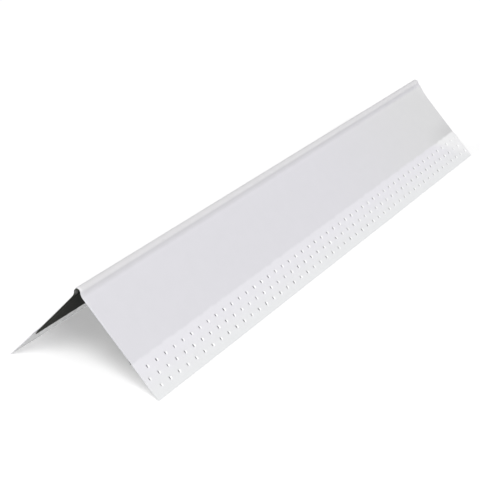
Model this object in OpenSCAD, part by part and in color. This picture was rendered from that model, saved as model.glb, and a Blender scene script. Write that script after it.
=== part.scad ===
// Paper-faced outside corner bead for gypsum board, standing like a tent on its two paper edges.
// X runs across the bead, Y along it and Z up; the floor is Z = 0 and the bead is centred on X and Y.

/* [Bead] */
// Length of the bead
bead_length = 304.8; // [60:0.1:400]
// Angle between the two steel legs, a little under a right angle so that they grip the wall corner
included_angle = 87.5; // [82:0.5:96]

/* [Steel core] */
// Thickness of the roll-formed strip
steel_thickness = 0.35; // [0.25:0.01:0.6]
// Width of one leg, from the corner where the two legs' outer faces would meet to the steel edge
leg_width = 33.7; // [20:0.1:45]
// Radius of the rolled nose, over the steel
nose_radius = 1.5; // [1:0.05:2.5]
// Height of the nose's top over the corner where the two legs' outer faces would meet
nose_rise = 1.5; // [1:0.05:2]
// Radius of the hollow bend on each side, where the nose runs out into a leg, over the steel
neck_radius = 3.5; // [2:0.1:6]

/* [Paper facing] */
// Thickness of the paper
paper_thickness = 0.25; // [0.15:0.01:0.5]
// Width of one free wing, from the steel edge to the paper edge
wing_width = 17.1; // [14:0.1:30]
// Angle by which each wing spreads outward from its steel leg
wing_splay = 1.5; // [0:0.1:6]

/* [Perforations] */
// Diameter of one perforation
hole_diameter = 0.8; // [0.5:0.05:1.5]
// Distance from one perforation to the next in a row
hole_pitch = 6.03; // [4:0.01:12]
// Distance from the bead's front end to the first perforation of the outer rows
first_hole = 5.75; // [5.5:0.05:10]
// Least distance from the bead's back end to the last perforation
back_margin = 1.5; // [1:0.1:10]
// Distance from the steel edge to the first row
row_start = 4; // [1.5:0.1:5]
// Distance from one row to the next
row_gap = 4.35; // [2:0.05:4.5]

/* [Hidden] */
$fn = 48;
hole_facets = 16;
rows = 3;
// How far the neck arcs sink into the nose and the legs, so that the curves cross and don't just touch
blend = 0.004;
// How far one cut runs past the surface that it cuts
overcut = 0.5;
// How deep the filled outlines reach under their surface before they close across
closing_depth = 3;
half_angle = included_angle / 2;
wing_angle = half_angle + wing_splay;
leg_dir = [sin(half_angle), -cos(half_angle)];
leg_out = [cos(half_angle), sin(half_angle)];
wing_dir = [sin(wing_angle), -cos(wing_angle)];
wing_out = [cos(wing_angle), sin(wing_angle)];
// The paper's inner edge carries the bead, so the corner stands above it by the drop of a leg and a wing
corner_height = -(leg_width * leg_dir + wing_width * wing_dir)[1];
corner = [0, corner_height];
nose_centre = corner + [0, nose_rise - nose_radius];
// A neck's centre lies beside the leg at one radius and from the nose's centre at the sum of the two radii
neck_offset = neck_radius - blend;
nose_to_neck = nose_radius + neck_radius - blend;
nose_from_leg = (nose_rise - nose_radius) * leg_out[1];
nose_along_leg = (nose_rise - nose_radius) * leg_dir[1];
neck_along_leg = nose_along_leg + sqrt(pow(nose_to_neck, 2) - pow(neck_offset - nose_from_leg, 2));
neck_centre = leg_point(neck_along_leg, neck_offset);
row_first = first_hole - hole_pitch / 2;

// A point of the right leg: a distance along it from the corner, and one out from the steel's outer face
function leg_point(along, out) = corner + along * leg_dir + out * leg_out;

// A point of the right wing: a distance along it from the steel edge, and one out from the paper's inner face
function wing_point(along, out) = leg_point(leg_width, 0) + along * wing_dir + out * wing_out;

// The right wing's fold line at a distance out from the paper's inner face
function fold_point(out) = leg_point(leg_width, 0) + out * (leg_out + wing_out) / (1 + leg_out * wing_out);

// The same point on the bead's left side
function left(point) = [-point[0], point[1]];

// How many perforations fit in a row that starts a distance from the front end
function hole_count(first) = floor((bead_length - first - back_margin) / hole_pitch) + 1;

// The hollows between the nose and the two legs, filled up to the arcs of the necks
module neck_fill(out) {
    foot = leg_point(neck_along_leg, -steel_thickness - overcut);
    difference() {
        polygon([neck_centre, nose_centre, left(neck_centre), left(foot), foot]);
        translate(neck_centre)
            circle(neck_radius - out);
        translate(left(neck_centre))
            circle(neck_radius - out);
    }
}

// All that lies under the bead's surface, moved out from the steel's outer face, with the right side's points given
module under_surface(out, right_side) {
    top = corner + [0, out / leg_out[1]];
    left_side = [for (point = right_side) left(point)];
    back_up = [for (i = [len(right_side) - 1 : -1 : 0]) right_side[i]];
    polygon(concat([top], left_side, back_up));
    translate(nose_centre)
        circle(nose_radius + out);
    neck_fill(out);
}

module along_bead() {
    rotate([90, 0, 0])
        linear_extrude(height = bead_length, center = true)
            children();
}

module steel_section() {
    far = leg_width + overcut;
    inner = -steel_thickness;
    difference() {
        under_surface(0, [leg_point(leg_width, 0), leg_point(leg_width, -closing_depth)]);
        under_surface(inner, [leg_point(far, inner), leg_point(far, -closing_depth)]);
    }
}

module paper_section() {
    far = wing_width + overcut;
    outer = paper_thickness;
    difference() {
        under_surface(outer, [fold_point(outer), wing_point(wing_width, outer), wing_point(wing_width, -closing_depth)]);
        under_surface(0, [fold_point(0), wing_point(far, 0), wing_point(far, -closing_depth)]);
    }
}

// One wing's perforations, square to the paper: the middle row stands half a pitch off the other two
module wing_perforations() {
    for (row = [0 : rows - 1]) {
        first = row % 2 == 0 ? first_hole : row_first;
        start = wing_point(row_start + row * row_gap, -overcut);
        for (i = [0 : hole_count(first) - 1]) {
            translate([start[0], first + i * hole_pitch - bead_length / 2, start[1]])
                rotate([0, 90 - wing_angle, 0])
                    cylinder(d = hole_diameter, h = paper_thickness + 2 * overcut, $fn = hole_facets);
        }
    }
}

module metal_core() {
    color("dimgray")
        along_bead()
            steel_section();
}

module paper_facing() {
    color("whitesmoke")
        difference() {
            along_bead()
                paper_section();
            wing_perforations();
            mirror([1, 0, 0])
                wing_perforations();
        }
}

metal_core();
paper_facing();
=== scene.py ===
import bpy
import numpy as np
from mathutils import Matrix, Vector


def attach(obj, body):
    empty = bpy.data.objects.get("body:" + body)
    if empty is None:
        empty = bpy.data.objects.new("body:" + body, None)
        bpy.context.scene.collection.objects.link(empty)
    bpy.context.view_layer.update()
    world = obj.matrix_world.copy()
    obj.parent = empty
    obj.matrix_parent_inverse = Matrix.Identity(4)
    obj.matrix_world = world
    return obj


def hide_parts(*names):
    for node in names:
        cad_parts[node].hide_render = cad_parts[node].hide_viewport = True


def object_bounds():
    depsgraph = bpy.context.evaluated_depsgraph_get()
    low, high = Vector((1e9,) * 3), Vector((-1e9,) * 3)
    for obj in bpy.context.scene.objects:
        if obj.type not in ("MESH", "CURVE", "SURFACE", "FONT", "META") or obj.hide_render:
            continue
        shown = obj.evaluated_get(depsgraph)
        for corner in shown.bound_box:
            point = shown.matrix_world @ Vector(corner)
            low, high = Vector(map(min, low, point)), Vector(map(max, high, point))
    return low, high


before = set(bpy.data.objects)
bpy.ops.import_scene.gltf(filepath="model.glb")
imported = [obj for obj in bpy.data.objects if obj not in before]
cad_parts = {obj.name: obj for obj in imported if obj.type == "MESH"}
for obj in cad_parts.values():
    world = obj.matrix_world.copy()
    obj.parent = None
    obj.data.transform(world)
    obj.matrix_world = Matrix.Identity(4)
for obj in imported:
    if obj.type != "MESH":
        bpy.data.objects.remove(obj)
cad_low, cad_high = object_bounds()

# Steel core: one thin cold-rolled strip, roll-formed along its whole length into two flat legs and a
# hollow round nose. It is glued to the inside of the paper and keeps its dark, oiled mill finish. Sizes
# are in mm, here and in the sections after this one, unless a comment says otherwise.
MM = 0.001
LENGTH = (cad_high.y - cad_low.y) / MM
INCLUDED_ANGLE = np.radians(87.5)
STEEL_THICKNESS = 0.35
LEG_WIDTH = 33.7
NOSE_RADIUS = 1.5
NECK_RADIUS = 3.5
WING_WIDTH = 17.1
WING_SPLAY = np.radians(1.5)

# A face's turn is the angle by which its outward normal leans over from straight up, on the right side.
LEG_TURN = np.pi / 2 - INCLUDED_ANGLE / 2
WING_TURN = LEG_TURN - WING_SPLAY


def outward(turn):
    """The unit normal (x, z) of a face: straight up, leaned over by its turn."""
    return np.stack([np.sin(turn), np.cos(turn)], axis=-1)


def downhill(turn):
    """The unit direction (x, z) down the slope of a face, a quarter turn on from its normal."""
    return np.stack([np.cos(turn), -np.sin(turn)], axis=-1)


# The nose is round about the corner where the outer faces of the two legs would meet.
CORNER = np.array([0, -(LEG_WIDTH * downhill(LEG_TURN) + WING_WIDTH * downhill(WING_TURN))[1]])
NECK_ALONG_LEG = np.sqrt((NOSE_RADIUS + NECK_RADIUS) ** 2 - NECK_RADIUS**2)
NECK_CENTRE = CORNER + NECK_ALONG_LEG * downhill(LEG_TURN) + NECK_RADIUS * outward(LEG_TURN)
NOSE_TURN = np.arctan2(*(NECK_CENTRE - CORNER))
# Distances along the section, from the top of the nose to the end of each of its stretches.
NOSE_END = NOSE_RADIUS * NOSE_TURN
NECK_END = NOSE_END + NECK_RADIUS * (NOSE_TURN - LEG_TURN)
LEG_END = NECK_END + LEG_WIDTH - NECK_ALONG_LEG
WING_END = LEG_END + WING_WIDTH
# A point this close to the fold still belongs to the leg.
ROUNDING = 1e-6

# The shears bent the front end over its first BEND_LENGTH. FRONT_BENDS has places along the section,
# right side positive, and how far each was bent out: the left leg went out, the nose down and over to
# the left, and the right leg in. The bend dies out a little past the left steel edge.
BEND_LENGTH = 0.6
BEND_PAST_STEEL = 1.0
FRONT_BENDS = [
    (-LEG_END - BEND_PAST_STEEL, 0),
    (-LEG_END, 0.12),
    (-LEG_END / 2, 0.12),
    (-NOSE_END, 0.34),
    (0, -0.6),
    (NOSE_END, -0.34),
    (NECK_END, -0.12),
    (LEG_END, 0),
]
# At the back end the hollow necks were pressed out nearly flat. The rise is greatest a little before
# the leg begins, and it fades sooner towards the nose than over the leg.
FLAT_LENGTH = 5.0
FLAT_HEIGHT = 0.9
FLAT_BEFORE_LEG = 1.0
FLAT_TO_NOSE = 1.3
FLAT_OVER_LEG = 4.0


def bead_surface(surface):
    """Points in metres for surface coordinates in mm: along the section from the top of the nose, right
    side positive; along the bead from its front end; and out from the steel's outer face. The section
    is half a circle over the nose, a hollow arc at the neck, a straight leg and a wing splayed out. At
    the front end it is moved out by straight lines between the bends, in proportion over BEND_LENGTH,
    and at the back end by a bell curve over each neck, in proportion over FLAT_LENGTH."""
    along, length, out = np.moveaxis(surface, -1, 0)
    far = np.abs(along)
    bent = np.interp(along, *np.transpose(FRONT_BENDS))
    out = out + bent * np.clip(1 - length / BEND_LENGTH, 0, 1)
    past_flat = far - (NECK_END - FLAT_BEFORE_LEG)
    bell = np.exp(-((past_flat / np.where(past_flat < 0, FLAT_TO_NOSE, FLAT_OVER_LEG)) ** 2))
    out = out + FLAT_HEIGHT * bell * np.clip(1 - (LENGTH - length) / FLAT_LENGTH, 0, 1)
    stretch = np.searchsorted([NOSE_END, NECK_END, LEG_END + ROUNDING], far)
    turn = np.choose(
        stretch,
        [far / NOSE_RADIUS, NOSE_TURN - (far - NOSE_END) / NECK_RADIUS, LEG_TURN, WING_TURN],
    )
    on_leg = NECK_ALONG_LEG + far - NECK_END
    on_wing = far - LEG_END
    section = np.choose(
        stretch[..., None],
        [
            CORNER + NOSE_RADIUS * outward(turn),
            NECK_CENTRE - NECK_RADIUS * outward(turn),
            CORNER + on_leg[..., None] * downhill(LEG_TURN),
            CORNER + LEG_WIDTH * downhill(LEG_TURN) + on_wing[..., None] * downhill(WING_TURN),
        ],
    )
    section = section + out[..., None] * outward(turn)
    x = np.where(along < 0, -section[..., 0], section[..., 0])
    return MM * np.stack([x, length - LENGTH / 2, section[..., 1]], axis=-1)


def strip_shell(across, lengths, low, high, kept=True):
    """The closed skin of a strip, as patches of surface coordinates: a grid over its outer face, one
    over its inner face, and the four narrow grids that close its edges. kept says which cells of both
    faces are there."""
    along, length = np.meshgrid(across, lengths, indexing="ij")
    inner = np.stack([along, length, np.full(along.shape, low)], axis=-1)
    outer = np.stack([along, length, np.full(along.shape, high)], axis=-1)
    kept = np.broadcast_to(kept, (len(across) - 1, len(lengths) - 1))
    edge = np.stack([inner, outer])
    return [
        (outer, kept),
        (inner[::-1], kept[::-1]),
        (edge[:, :, 0].transpose(1, 0, 2), True),
        (edge[::-1, :, -1].transpose(1, 0, 2), True),
        (edge[:, 0], True),
        (edge[::-1, -1], True),
    ]


# Points whose coordinates are the same to this many decimals of a millimetre are one point.
SAME_DECIMALS = 5


def stitched(patches):
    """One list of surface coordinates and one of quads, from grids of coordinates whose last two axes
    run over a patch. Each cell of a grid that is kept is a quad, and points with the same coordinates
    become one."""
    points, quads, count = [], [], 0
    for grid, kept in patches:
        index = count + np.arange(grid[..., 0].size).reshape(grid.shape[:-1])
        corners = [index[..., :-1, :-1], index[..., 1:, :-1], index[..., 1:, 1:], index[..., :-1, 1:]]
        cells = np.stack(corners, axis=-1)
        quads.append(cells[np.broadcast_to(kept, cells.shape[:-1])])
        points.append(grid.reshape(-1, 3))
        count += grid[..., 0].size
    quads, points = np.concatenate(quads), np.concatenate(points)
    used, first = np.unique(quads, return_inverse=True)
    rounded = np.round(points[used], SAME_DECIMALS)
    _, chosen, same = np.unique(rounded, axis=0, return_index=True, return_inverse=True)
    return points[used][chosen], same.ravel()[first.reshape(quads.shape)]


# Edges that turn by more than this are crisp, as a cut edge is, and all bends are smooth.
CRISP_ANGLE = np.radians(40)


def bead_piece(name, patches, place, material):
    """A mesh object at the origin from stitched patches, put in place by a function of their
    coordinates. The mesh keeps those coordinates, in metres, as the places on the unrolled sheet that
    its material reads."""
    surface, quads = stitched(patches)
    mesh = bpy.data.meshes.new(name)
    mesh.from_pydata(place(surface), [], quads)
    unrolled = mesh.attributes.new("unrolled", "FLOAT_VECTOR", "POINT")
    unrolled.data.foreach_set("vector", (MM * surface).ravel())
    mesh.polygons.foreach_set("use_smooth", np.ones(len(quads), bool))
    mesh.set_sharp_from_angle(angle=CRISP_ANGLE)
    mesh.materials.append(material)
    piece = bpy.data.objects.new(name, mesh)
    bpy.context.scene.collection.objects.link(piece)
    return piece


def halves(lines):
    """Lines across the whole section from those of the right half, which start at the top of the nose."""
    return np.concatenate([-lines[:0:-1], lines])


def linear(hex_colour):
    """An sRGB hex colour as linear red, green and blue with full alpha."""
    srgb = np.array([int(hex_colour[i : i + 2], 16) for i in (1, 3, 5)]) / 255
    return (*np.where(srgb <= 0.04045, srgb / 12.92, ((srgb + 0.055) / 1.055) ** 2.4), 1.0)


def add_node(tree, kind, inputs=None, **settings):
    """Adds one node with its settings. An input that is given a socket is linked to it, and any other
    is set."""
    made = tree.nodes.new(kind)
    for name, value in settings.items():
        setattr(made, name, value)
    for name, value in (inputs or {}).items():
        if isinstance(value, bpy.types.NodeSocket):
            tree.links.new(value, made.inputs[name])
        else:
            made.inputs[name].default_value = value
    return made


def empty_material(name):
    """A material whose tree has no nodes yet."""
    material = bpy.data.materials.new(name)
    material.use_nodes = True
    material.node_tree.nodes.clear()
    return material


# The rolls left lines along the strip. They are drawn 0.4 mm apart, coarser than real ones, so that
# they show.
ROLL_LINE_GAP = 0.4
ROLL_LINE_LENGTH = 60.0
ROLL_LINE_DEPTH = 0.03
# Oil stands on the strip in cloudy patches.
OIL_CLOUD = 15.0
# A painted highlight lies on one small patch just inside the nose: the steel is painted pale and matt
# there, where light falls in. These are the middle of the patch over the unrolled strip, and the
# distances from there at which the highlight starts to fade and is gone.
HIGHLIGHT_PATCH = np.array([-2.5, 1.0, -STEEL_THICKNESS])
HIGHLIGHT_RADIUS = 0.6
HIGHLIGHT_FADE_RADIUS = 1.8


def oiled_steel():
    """Cold-rolled strip steel in its mill finish: dark and satin, with fine lines along it and clouds of
    oil, and a painted highlight, pale and matt, on one small patch just inside the nose."""
    material = empty_material("oiled_cold_rolled_steel")
    tree = material.node_tree
    place = add_node(tree, "ShaderNodeTexCoord").outputs["Object"]
    line_size = MM * np.array([ROLL_LINE_GAP, ROLL_LINE_LENGTH, ROLL_LINE_GAP])
    drawn = add_node(
        tree, "ShaderNodeMapping", {"Vector": place, "Scale": 1 / line_size}
    ).outputs["Vector"]
    lines = add_node(
        tree, "ShaderNodeTexNoise", {"Vector": drawn, "Scale": 1.0, "Detail": 3.0}
    ).outputs["Fac"]
    clouds = add_node(
        tree, "ShaderNodeTexNoise", {"Vector": place, "Scale": 1 / (MM * OIL_CLOUD), "Detail": 2.0}
    ).outputs["Fac"]
    unrolled = add_node(tree, "ShaderNodeAttribute", attribute_name="unrolled").outputs["Vector"]
    from_highlight = add_node(
        tree, "ShaderNodeVectorMath", {0: unrolled, 1: MM * HIGHLIGHT_PATCH}, operation="DISTANCE"
    ).outputs["Value"]
    beside_highlight = add_node(
        tree,
        "ShaderNodeMapRange",
        {"Value": from_highlight, "From Min": MM * HIGHLIGHT_RADIUS, "From Max": MM * HIGHLIGHT_FADE_RADIUS},
    ).outputs["Result"]
    dark = add_node(
        tree,
        "ShaderNodeMix",
        {"Factor": clouds, "A": linear("#363732"), "B": linear("#444540")},
        data_type="RGBA",
    ).outputs["Result"]
    # The painted highlight: pale and matt inside the patch, the dark oiled steel beside it.
    shown = add_node(
        tree, "ShaderNodeMix", {"Factor": beside_highlight, "A": linear("#787876"), "B": dark}, data_type="RGBA"
    ).outputs["Result"]
    metal = add_node(tree, "ShaderNodeMapRange", {"Value": beside_highlight, "To Min": 0.0, "To Max": 0.8})
    gloss = add_node(tree, "ShaderNodeMapRange", {"Value": lines, "To Min": 0.45, "To Max": 0.6})
    relief = add_node(
        tree, "ShaderNodeBump", {"Height": lines, "Strength": 0.25, "Distance": MM * ROLL_LINE_DEPTH}
    )
    # The tint keeps the film of oil from shining white where it is seen at a low angle.
    shader = add_node(
        tree,
        "ShaderNodeBsdfPrincipled",
        {
            "Base Color": shown,
            "Metallic": metal.outputs["Result"],
            "Roughness": gloss.outputs["Result"],
            "Normal": relief.outputs["Normal"],
            "Specular Tint": (0.2, 0.2, 0.2, 1),
        },
    )
    add_node(tree, "ShaderNodeOutputMaterial", {"Surface": shader.outputs["BSDF"]})
    return material


# The front cut ran a little askew. On the right the steel stops short of the paper, and only the outer
# corner of its leg comes out to it. On the left the outer corner of the leg is clipped.
ASKEW = 0.45
CORNER_REACH = 3.0
CLIPPED_DEPTH = 1.1
CLIPPED_REACH = 7.0


def drawn_in(surface, amount):
    """Surface coordinates with the front end moved in by an amount, and what is behind it in proportion
    to its distance from the back end, which stays where it is."""
    along, length, out = np.moveaxis(surface, -1, 0)
    return np.stack([along, length + amount * (1 - length / LENGTH), out], axis=-1)


def steel_surface(surface):
    """The bead's surface with the strip drawn in on its right side, in proportion from the top of the
    nose to the neck, and in proportion back out over the last CORNER_REACH of the leg. On the left side
    it is drawn in over the last CLIPPED_REACH of the leg, in proportion."""
    along = surface[..., 0]
    amount = ASKEW * np.clip(along / NECK_END, 0, 1) * np.clip((LEG_END - along) / CORNER_REACH, 0, 1)
    clipped = CLIPPED_DEPTH * np.clip(1 - (LEG_END + along) / CLIPPED_REACH, 0, 1)
    return bead_surface(drawn_in(surface, amount + clipped))


# Steps of the grid over one half of the section. Along the strip a line stands at the end of the front
# bend, and the others are about FLAT_LENGTH apart.
NOSE_STEPS, NECK_STEPS, LEG_STEPS = 12, 8, 8
steel_half = np.concatenate(
    [
        np.linspace(0, NOSE_END, NOSE_STEPS, endpoint=False),
        np.linspace(NOSE_END, NECK_END, NECK_STEPS, endpoint=False),
        np.linspace(NECK_END, LEG_END, LEG_STEPS + 1),
    ]
)
far_lengths = np.linspace(FLAT_LENGTH, LENGTH, round(LENGTH / FLAT_LENGTH))
steel_core = bead_piece(
    "steel_core",
    strip_shell(halves(steel_half), np.array([0, BEND_LENGTH, *far_lengths]), -STEEL_THICKNESS, 0),
    steel_surface,
    oiled_steel(),
)
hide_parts("metal_core")
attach(steel_core, "root")

# Paper facing: one sheet of white joint paper, glued over the nose and both steel legs and running on
# past each steel edge as a free wing. Needles pricked three staggered rows of holes through each wing,
# from inside.
PAPER_THICKNESS = 0.25
HOLE_RADIUS = 0.4
HOLE_PITCH = 6.03
FIRST_HOLE = 5.75
BACK_MARGIN = 1.5
ROW_START = 4.0
ROW_GAP = 4.35
ROWS = 3

# One cell holds one hole. It is a pitch long and a row gap wide, in 4 by 2 squares of the sheet's grid,
# so that the cells of the staggered rows meet point to point. The margins beside the rows have two
# steps each. Lines past the ends of the sheet are drawn in to them.
LONG_STEPS, WIDE_STEPS, MARGIN_STEPS = 4, 2, 2
long_step = HOLE_PITCH / LONG_STEPS
cell_lengths = np.arange(FIRST_HOLE - HOLE_PITCH, LENGTH + long_step, long_step)
paper_lengths = np.array([0, *np.clip(cell_lengths, BEND_LENGTH, LENGTH)])
row_lines = LEG_END + ROW_START + ROW_GAP * (np.arange(ROWS * WIDE_STEPS + 1) / WIDE_STEPS - 0.5)
paper_half = np.concatenate(
    [
        steel_half[:-1],
        np.linspace(LEG_END, row_lines[0], MARGIN_STEPS, endpoint=False),
        row_lines,
        np.linspace(row_lines[-1], WING_END, MARGIN_STEPS + 1)[1:],
    ]
)
paper_lines = halves(paper_half)


def perforations():
    """The grid corner of each hole's cell, as line numbers across and along the sheet, for both wings.
    The middle row stands half a pitch before the other two."""
    starts = []
    for row in range(ROWS):
        first = FIRST_HOLE - (HOLE_PITCH / 2 if row % 2 else 0)
        count = int((LENGTH - first - BACK_MARGIN) / HOLE_PITCH) + 1
        line = np.flatnonzero(paper_half == row_lines[row * WIDE_STEPS])[0]
        right = len(paper_half) - 1 + line
        left = len(paper_half) - 1 - line - WIDE_STEPS
        lengthwise = 1 + (0 if row % 2 else LONG_STEPS // 2) + LONG_STEPS * np.arange(count)
        starts += [np.stack(np.broadcast_arrays(side, lengthwise), axis=-1) for side in (right, left)]
    return np.concatenate(starts)


# The needles came through at a slant, so a hole leans along the bead, and it is wider across the bead
# than along it. SLIT gives both widths as shares of its diameter, and HOLE_LEAN the lean over the
# sheet's thickness.
SLIT = np.array([1.85, 0.58])
HOLE_LEAN = np.array([0, 0.9])
# They tore up a lip on one side, towards LIP_HEADING. Its crest and its foot stand this far out from
# the rim, on the flat side and on the high side of the hole.
LIP_HEIGHT = 0.45
LIP_CREST = (0.1, 0.66)
LIP_FOOT = (0.25, 0.95)
LIP_HEADING = np.array([0.25, 0.97])
LIP_NARROWNESS = 14
# No two holes are pricked quite alike: shares of the usual hole and of the usual lip.
HOLE_SPREAD = (0.9, 1.08)
LIP_SPREAD = (0.7, 1.2)
HOLE_SEED = 5


def pricked_cells(starts):
    """Rings of surface coordinates from the edge of a cell on the outer face, over the lip to the
    hole's rim, through the sheet, and back to the cell's edge on the inner face. Round a hole the lip's
    reach grows as half of one plus the cosine of the angle to its heading, and its height as a power of
    that."""
    # Steps from the cell's corner to each point round its edge, across and along the sheet.
    wide = np.array([0] * (LONG_STEPS + 1) + [1] + [WIDE_STEPS] * (LONG_STEPS + 1) + [1, 0])
    long = np.array([*range(LONG_STEPS + 1), LONG_STEPS, *range(LONG_STEPS, -1, -1), 0, 0])
    edge = np.stack([paper_lines[starts[:, :1] + wide], paper_lengths[starts[:, 1:] + long]], axis=-1)
    middle_length = cell_lengths[0] + long_step * (starts[:, 1] - 1 + LONG_STEPS // 2)
    middle = np.stack([paper_lines[starts[:, 0] + WIDE_STEPS // 2], middle_length], axis=-1)[:, None]
    angle = 2 * np.pi * (np.arange(len(wide)) - LONG_STEPS // 2) / (len(wide) - 1)
    spoke = np.stack([-np.cos(angle), np.sin(angle)], axis=-1)
    raised = (1 + spoke @ LIP_HEADING) / 2
    odds = np.random.default_rng(HOLE_SEED)
    rim = middle + HOLE_RADIUS * odds.uniform(*HOLE_SPREAD, (len(starts), 1, 1)) * spoke * SLIT
    lip = LIP_HEIGHT * odds.uniform(*LIP_SPREAD, (len(starts), 1)) * raised**LIP_NARROWNESS
    crest = rim + np.interp(raised, (0, 1), LIP_CREST)[:, None] * spoke
    foot = rim + np.interp(raised, (0, 1), LIP_FOOT)[:, None] * spoke
    face, back = np.full(lip.shape, PAPER_THICKNESS), np.zeros(lip.shape)
    rings = [
        (edge, face),
        (foot + LIP_CREST[0] * spoke, face),
        (foot, face),
        (crest, face + lip),
        (rim, face),
        (rim + HOLE_LEAN * PAPER_THICKNESS, back),
        (edge, back),
    ]
    cells = np.stack([np.dstack(ring) for ring in rings], axis=1)
    # Each ring ends on the very point that it starts from.
    cells[..., -1, :] = cells[..., 0, :]
    return cells


# The free wings are wavy along the bead. Each wave has a length for one radian, a share of the height,
# and the angle by which it is ahead on the left wing.
WAVE_HEIGHT = 0.04
WAVES = [(23.0, 1.0, 1.9), (9.7, 0.6, 3.99)]
# At the back end each wing swells, most at a share of its width past the steel edge.
SWELL_HEIGHT = 0.5
SWELL_LENGTH = 26.0
SWELL_MIDDLE = 0.2
SWELL_REACH = 0.12
# At the front end the left side stands off the steel, most at the steel edge, and by a share less at
# the tip.
FLARE_HEIGHT = 0.42
FLARE_LENGTH = 15.0
FLARE_REACH = 4.0
FLARE_FALL = 0.7
# The front cut left the paper short of the steel on the left leg, up to this far from its edge, and
# long at the tips of both wings, by ASKEW on the right one.
SHORT_REACH = 8.0
LEFT_TIP = 0.85


def paper_surface(surface):
    """The bead's surface with the free wings lifted off it a little, in waves that grow as the square
    of the reach past the steel edge and only ever rise, so that a wing still stands on its lowest
    places. A wing's swelling is a bell curve across it. The flare is a bell curve up to the steel edge
    and a straight line past it. The sheet is drawn in on the left, in proportion across the nose and
    again over SHORT_REACH, and drawn out over the wings, in proportion to their reach."""
    along, length, out = np.moveaxis(surface, -1, 0)
    left = along < 0
    past_steel = np.abs(along) - LEG_END
    reach = np.clip(past_steel / WING_WIDTH, 0, 1)
    waves = sum(share * (1 + np.sin(length / size + left * ahead)) for size, share, ahead in WAVES)
    bell = np.where(reach > 0, np.exp(-(((reach - SWELL_MIDDLE) / SWELL_REACH) ** 2)), 0)
    swell = bell * np.clip(1 - (LENGTH - length) / SWELL_LENGTH, 0, 1)
    off_steel = np.where(reach > 0, 1 - FLARE_FALL * reach, np.exp(-((past_steel / FLARE_REACH) ** 2)))
    flare = left * off_steel * np.clip(1 - length / FLARE_LENGTH, 0, 1)
    lifted = out + WAVE_HEIGHT * reach**2 * waves + SWELL_HEIGHT * swell + FLARE_HEIGHT * flare
    short = np.clip((1 - along / NOSE_END) / 2, 0, 1) * np.clip(-past_steel / SHORT_REACH, 0, 1)
    amount = ASKEW * short - np.where(left, LEFT_TIP, ASKEW) * reach
    return bead_surface(drawn_in(np.stack([along, length, lifted], axis=-1), amount))


# Formation is the clouds of thicker and thinner stock that paper has, and the glue's edge wavers with
# them.
CLOUD_SIZE = 6.0
GLUE_WAVER = 2.0
# Fibres lie mostly along the sheet. Real ones are 0.03 mm thick; these are drawn at 0.25 mm, so that
# they show.
FIBRE_WIDTH = 0.25
FIBRE_LENGTH = 2.0
FIBRE_RELIEF = 0.04
# The free wings let light through to their shaded inner face: its share of what is seen there, and how
# far it spreads. That is far longer than in real paper, so that it comes right through the sheet.
LIGHT_THROUGH = 0.87
SCATTER = 20.0
# The inner face shades into the outer one within this depth of the sheet.
FACE_DEPTH = 0.1
# A lip is painted near white, for its torn core and as a painted highlight on its lit crest, where it
# stands out from the face by this much, from where that starts to where it is whole.
TORN_HIGHLIT_START, TORN_HIGHLIT_WHOLE = 0.06, 0.14
# The back corner of each wing is painted whiter, a painted light, past a slanting line: so much along the
# bead for each mm of the wing.
CORNER_SLANT = 1.5
CORNER_START = LENGTH - CORNER_SLANT * LEG_END


def paper_shares(tree, sheet, clouds):
    """How far a place belongs to each part of the sheet, by name. A share rises smoothly from nought to
    one over a span of the unrolled sheet, and where a part needs two shares they are multiplied."""
    across, along, depth = sheet
    from_nose = add_node(tree, "ShaderNodeMath", {0: across}, operation="ABSOLUTE").outputs[0]
    wavering = add_node(
        tree, "ShaderNodeMath", {0: clouds, 1: MM * GLUE_WAVER, 2: from_nose}, operation="MULTIPLY_ADD"
    ).outputs[0]
    slanted = add_node(
        tree, "ShaderNodeMath", {0: from_nose, 1: -CORNER_SLANT, 2: along}, operation="MULTIPLY_ADD"
    ).outputs[0]
    share = {}
    # What a span is measured on, where it starts and where it is whole. The back corner of the right leg
    # gets a painted shade, darker towards the corner.
    for name, value, start, whole in (
        ("past_nose", from_nose, NOSE_END - 0.8, NOSE_END + 0.4),
        ("past_neck", from_nose, NECK_END - 1.6, NECK_END),
        ("past_glue", wavering, LEG_END + 0.5, LEG_END + 1.9),
        ("wing_edge", from_nose, LEG_END + 2, WING_END),
        ("wing_corner", slanted, CORNER_START - 31, CORNER_START - 19),
        ("back_half", along, 160, LENGTH),
        ("corner_shade_across", across, LEG_END - 12, LEG_END),
        ("corner_shade_along", along, LENGTH - 36, LENGTH + 4),
        ("past_front", along, -25, 20),
        ("outer_face", depth, 0, FACE_DEPTH),
    ):
        span = {"Value": value, "From Min": MM * start, "From Max": MM * whole}
        share[name] = add_node(
            tree, "ShaderNodeMapRange", span, interpolation_type="SMOOTHSTEP"
        ).outputs["Result"]
    inside = {"Value": depth, "From Max": MM * FACE_DEPTH, "To Min": LIGHT_THROUGH, "To Max": 0.0}
    share["inner_face"] = add_node(tree, "ShaderNodeMapRange", inside).outputs["Result"]
    for name, one, other in (
        ("painted_corner_shade", "corner_shade_across", "corner_shade_along"),
        ("wing", "past_glue", "outer_face"),
        ("wing_inside", "past_glue", "inner_face"),
        ("see_through", "wing_inside", "past_front"),
    ):
        factors = {0: share[one], 1: share[other]}
        share[name] = add_node(tree, "ShaderNodeMath", factors, operation="MULTIPLY").outputs[0]
    return share


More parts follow.
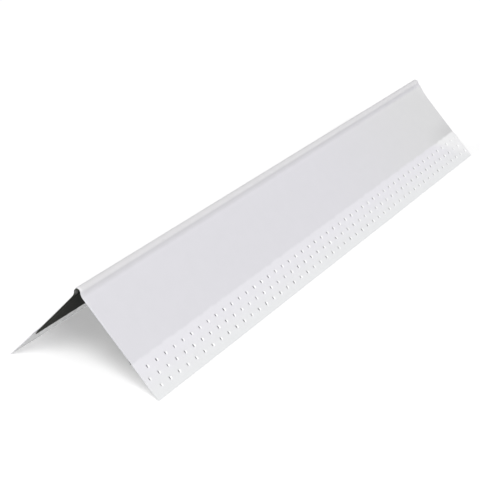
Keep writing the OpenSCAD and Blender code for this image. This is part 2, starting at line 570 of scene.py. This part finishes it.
def paper_tone(tree, share):
    """The colour of the sheet, built up in layers. A layer takes one colour over into another by its
    share, and each of the two is a hex colour or an earlier layer."""
    layer = {}
    for name, where, under, over in (
        ("leg", "back_half", "#E0DFE4", "#DFDFE0"),
        # Painted shade: the right leg grows darker towards its back corner.
        ("corner_shaded_leg", "painted_corner_shade", "leg", "#D2D2D3"),
        # Painted shade: the hollow of the neck is a shade darker than the top of the nose.
        ("nose", "past_nose", "#E3E2E4", "#DBDADE"),
        ("glued", "past_neck", "nose", "corner_shaded_leg"),
        # Painted shade: the inner face of the sheet is greyer than the outer.
        ("shaded_inner_face", "outer_face", "#D6D6D8", "glued"),
        ("wing", "wing_edge", "#EAE9EE", "#ECEDEE"),
        # Painted light: the back corner of each wing is whiter.
        ("lit_wing_corner", "wing_corner", "wing", "#F3F3F4"),
        ("sheet", "wing", "shaded_inner_face", "lit_wing_corner"),
    ):
        below, above = (layer[colour] if colour in layer else linear(colour) for colour in (under, over))
        mixed = {"Factor": share[where], "A": below, "B": above}
        layer[name] = add_node(tree, "ShaderNodeMix", mixed, data_type="RGBA").outputs["Result"]
    return layer["sheet"]


def joint_paper():
    """White joint paper: long-fibred, matt and faintly blue, a shade greyer where the dark steel behind
    it shows through and lighter on the free wings, with the cloudy formation and short fibres that
    paper has."""
    material = empty_material("white_joint_paper")
    tree = material.node_tree
    place = add_node(tree, "ShaderNodeTexCoord").outputs["Object"]
    clouds = add_node(
        tree, "ShaderNodeTexNoise", {"Vector": place, "Scale": 1 / (MM * CLOUD_SIZE), "Detail": 3.0}
    ).outputs["Fac"]
    unrolled = add_node(tree, "ShaderNodeAttribute", attribute_name="unrolled").outputs["Vector"]
    sheet = add_node(tree, "ShaderNodeSeparateXYZ", {"Vector": unrolled}).outputs
    share = paper_shares(tree, sheet, clouds)
    cloudy = add_node(
        tree, "ShaderNodeMapRange", {"Value": clouds, "To Min": 0.985, "To Max": 1.015}
    ).outputs["Result"]
    mottled = add_node(
        tree,
        "ShaderNodeMix",
        {"Factor": 1.0, "A": paper_tone(tree, share), "B": cloudy},
        data_type="RGBA",
        blend_type="MULTIPLY",
    ).outputs["Result"]
    # The lips that the needles tore up are painted near white: the whiter core of the torn sheet, and a
    # painted highlight where light catches their crests.
    torn_highlit_start, torn_highlit_whole = MM * (PAPER_THICKNESS + np.array([TORN_HIGHLIT_START, TORN_HIGHLIT_WHOLE]))
    torn_and_highlit = add_node(
        tree, "ShaderNodeMapRange", {"Value": sheet["Z"], "From Min": torn_highlit_start, "From Max": torn_highlit_whole}
    ).outputs["Result"]
    shown = add_node(
        tree, "ShaderNodeMix", {"Factor": torn_and_highlit, "A": mottled, "B": linear("#FCFCFC")}, data_type="RGBA"
    ).outputs["Result"]
    fibre_scale = (1 / (MM * FIBRE_WIDTH), 1 / (MM * FIBRE_LENGTH), 0)
    laid = add_node(
        tree, "ShaderNodeMapping", {"Vector": unrolled, "Scale": fibre_scale}
    ).outputs["Vector"]
    fibres = add_node(
        tree, "ShaderNodeTexNoise", {"Vector": laid, "Scale": 1.0, "Detail": 2.0}
    ).outputs["Fac"]
    relief = add_node(
        tree, "ShaderNodeBump", {"Height": fibres, "Strength": 0.2, "Distance": MM * FIBRE_RELIEF}
    ).outputs["Normal"]
    shader = add_node(
        tree,
        "ShaderNodeBsdfPrincipled",
        {
            "Base Color": shown,
            "Roughness": 0.8,
            "IOR": 1.5,
            "Specular IOR Level": 0.3,
            "Normal": relief,
            "Subsurface Weight": share["see_through"],
            "Subsurface Radius": (1, 1, 1),
            "Subsurface Scale": MM * SCATTER,
        },
    )
    add_node(tree, "ShaderNodeOutputMaterial", {"Surface": shader.outputs["BSDF"]})
    return material


hole_starts = perforations()
unpricked = np.ones((len(paper_lines) - 1, len(paper_lengths) - 1), bool)
for wide in range(WIDE_STEPS):
    for long in range(LONG_STEPS):
        unpricked[hole_starts[:, 0] + wide, hole_starts[:, 1] + long] = False
paper_facing = bead_piece(
    "paper_facing_sheet",
    [
        *strip_shell(paper_lines, paper_lengths, 0, PAPER_THICKNESS, unpricked),
        (pricked_cells(hole_starts), True),
    ],
    paper_surface,
    joint_paper(),
)
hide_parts("paper_facing")
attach(paper_facing, "root")

# Studio: a wide matt white floor that runs into a white surround, and three round softboxes: the key
# light high on the camera's side, a weaker one lower down on the right, and one low on the left. The
# floor takes the bead's shadow. Its sizes are in metres.
FLOOR_HALF = 1.2
floor_corners = FLOOR_HALF * np.array([[-1, -1, 0], [1, -1, 0], [1, 1, 0], [-1, 1, 0]])
floor_mesh = bpy.data.meshes.new("studio_floor")
floor_mesh.from_pydata(floor_corners, [], [(0, 1, 2, 3)])
floor = bpy.data.objects.new("studio_floor", floor_mesh)
bpy.context.scene.collection.objects.link(floor)


def seen_rays(tree):
    """One on the rays that show a surface to the eye, straight, mirrored or through glass, and nought
    on the rest: the greatest of the three."""
    path = add_node(tree, "ShaderNodeLightPath").outputs
    shown = path["Is Camera Ray"]
    for ray in ("Is Glossy Ray", "Is Transmission Ray"):
        shown = add_node(tree, "ShaderNodeMath", {0: shown, 1: path[ray]}, operation="MAXIMUM").outputs[0]
    return shown


# The eye sees the floor lifted to white, while the light that it gives the bead stays its own. The lift
# fades out under the bead, at its sides, its back end and the slanting line where the near end of the
# right leg hides the floor. The floor past that line shows only through the pricked holes, which look
# dark.
FLOOR_LIFT = 0.41
LIFT_FADE = 4 * MM
SIGHT_LINE = (1.0, 1.41, 0.0)


def floor_paint():
    """Matt white floor paint: pale, with no shine, and lifted to white for the eye by the greatest of
    three shares, one for each side on which the floor lies clear of the bead."""
    material = empty_material("matt_white_floor_paint")
    tree = material.node_tree
    place = add_node(tree, "ShaderNodeTexCoord").outputs["Object"]
    across, along, _ = add_node(tree, "ShaderNodeSeparateXYZ", {"Vector": place}).outputs
    aside = add_node(tree, "ShaderNodeMath", {0: across}, operation="ABSOLUTE").outputs[0]
    hidden = add_node(
        tree, "ShaderNodeVectorMath", {0: place, 1: SIGHT_LINE}, operation="DOT_PRODUCT"
    ).outputs["Value"]
    clear = 0.0
    for value, limit, fade in (
        (aside, cad_high.x, LIFT_FADE),
        (along, cad_high.y, LIFT_FADE),
        (hidden, cad_high.x + SIGHT_LINE[1] * cad_low.y, -LIFT_FADE),
    ):
        past = add_node(
            tree, "ShaderNodeMapRange", {"Value": value, "From Min": limit - fade, "From Max": limit}
        ).outputs["Result"]
        clear = add_node(tree, "ShaderNodeMath", {0: clear, 1: past}, operation="MAXIMUM").outputs[0]
    seen = add_node(
        tree, "ShaderNodeMath", {0: seen_rays(tree), 1: clear}, operation="MULTIPLY"
    ).outputs[0]
    lift = add_node(tree, "ShaderNodeMapRange", {"Value": seen, "To Min": 0.0, "To Max": FLOOR_LIFT})
    shader = add_node(
        tree,
        "ShaderNodeBsdfPrincipled",
        {
            "Base Color": linear("#E4E4E4"),
            "Roughness": 0.9,
            "Specular IOR Level": 0.0,
            "Emission Color": (1, 1, 1, 1),
            "Emission Strength": lift.outputs["Result"],
        },
    )
    add_node(tree, "ShaderNodeOutputMaterial", {"Surface": shader.outputs["BSDF"]})
    return material


floor_mesh.materials.append(floor_paint())

# The surround lights the bead at AMBIENT and is seen as white.
AMBIENT = 0.213
surround = bpy.data.worlds.new("white_surround")
surround.use_nodes = True
sky = surround.node_tree
sky.nodes.clear()
level = add_node(sky, "ShaderNodeMapRange", {"Value": seen_rays(sky), "To Min": AMBIENT, "To Max": 1.0})
white = add_node(
    sky, "ShaderNodeBackground", {"Color": (1, 1, 1, 1), "Strength": level.outputs["Result"]}
)
add_node(sky, "ShaderNodeOutputWorld", {"Surface": white.outputs["Background"]})
bpy.context.scene.world = surround


def softbox(name, azimuth, elevation, distance, diameter, watts):
    """A round lamp that faces the bead from a distance in metres, on a direction given by the degrees
    round to the right of the bead's front and up from the floor."""
    azimuth, elevation = np.radians([azimuth, elevation])
    flat = np.cos(elevation)
    toward = np.array([flat * np.sin(azimuth), -flat * np.cos(azimuth), np.sin(elevation)])
    lamp = bpy.data.lights.new(name, "AREA")
    lamp.shape = "DISK"
    lamp.size = diameter
    lamp.energy = watts
    stand = bpy.data.objects.new(name, lamp)
    stand.location = distance * toward
    stand.rotation_euler = (np.pi / 2 - elevation, 0, azimuth)
    bpy.context.scene.collection.objects.link(stand)


softbox("key_softbox", azimuth=31, elevation=52, distance=9.0, diameter=3.9, watts=435.0)
softbox("right_softbox", azimuth=60, elevation=30, distance=6.0, diameter=2.4, watts=118.0)
softbox("left_softbox", azimuth=-60, elevation=15, distance=6.0, diameter=3.0, watts=127.0)

# Camera: a long lens on the bead's front right, a little above it. Its place, in metres, and its focal
# length were fitted to the edges of the bead in the photograph.
lens = bpy.data.cameras.new("camera")
lens.sensor_width = 36.0
lens.lens = 97.86
lens.clip_start, lens.clip_end = 0.01, 100.0
camera = bpy.data.objects.new("camera", lens)
camera.location = (0.28026, -0.49415, 0.25125)
camera.rotation_euler = np.radians([66.0719, 0.4546, 31.2483])
bpy.context.scene.collection.objects.link(camera)
bpy.context.scene.camera = camera
bpy.context.scene.view_settings.view_transform = "Standard"
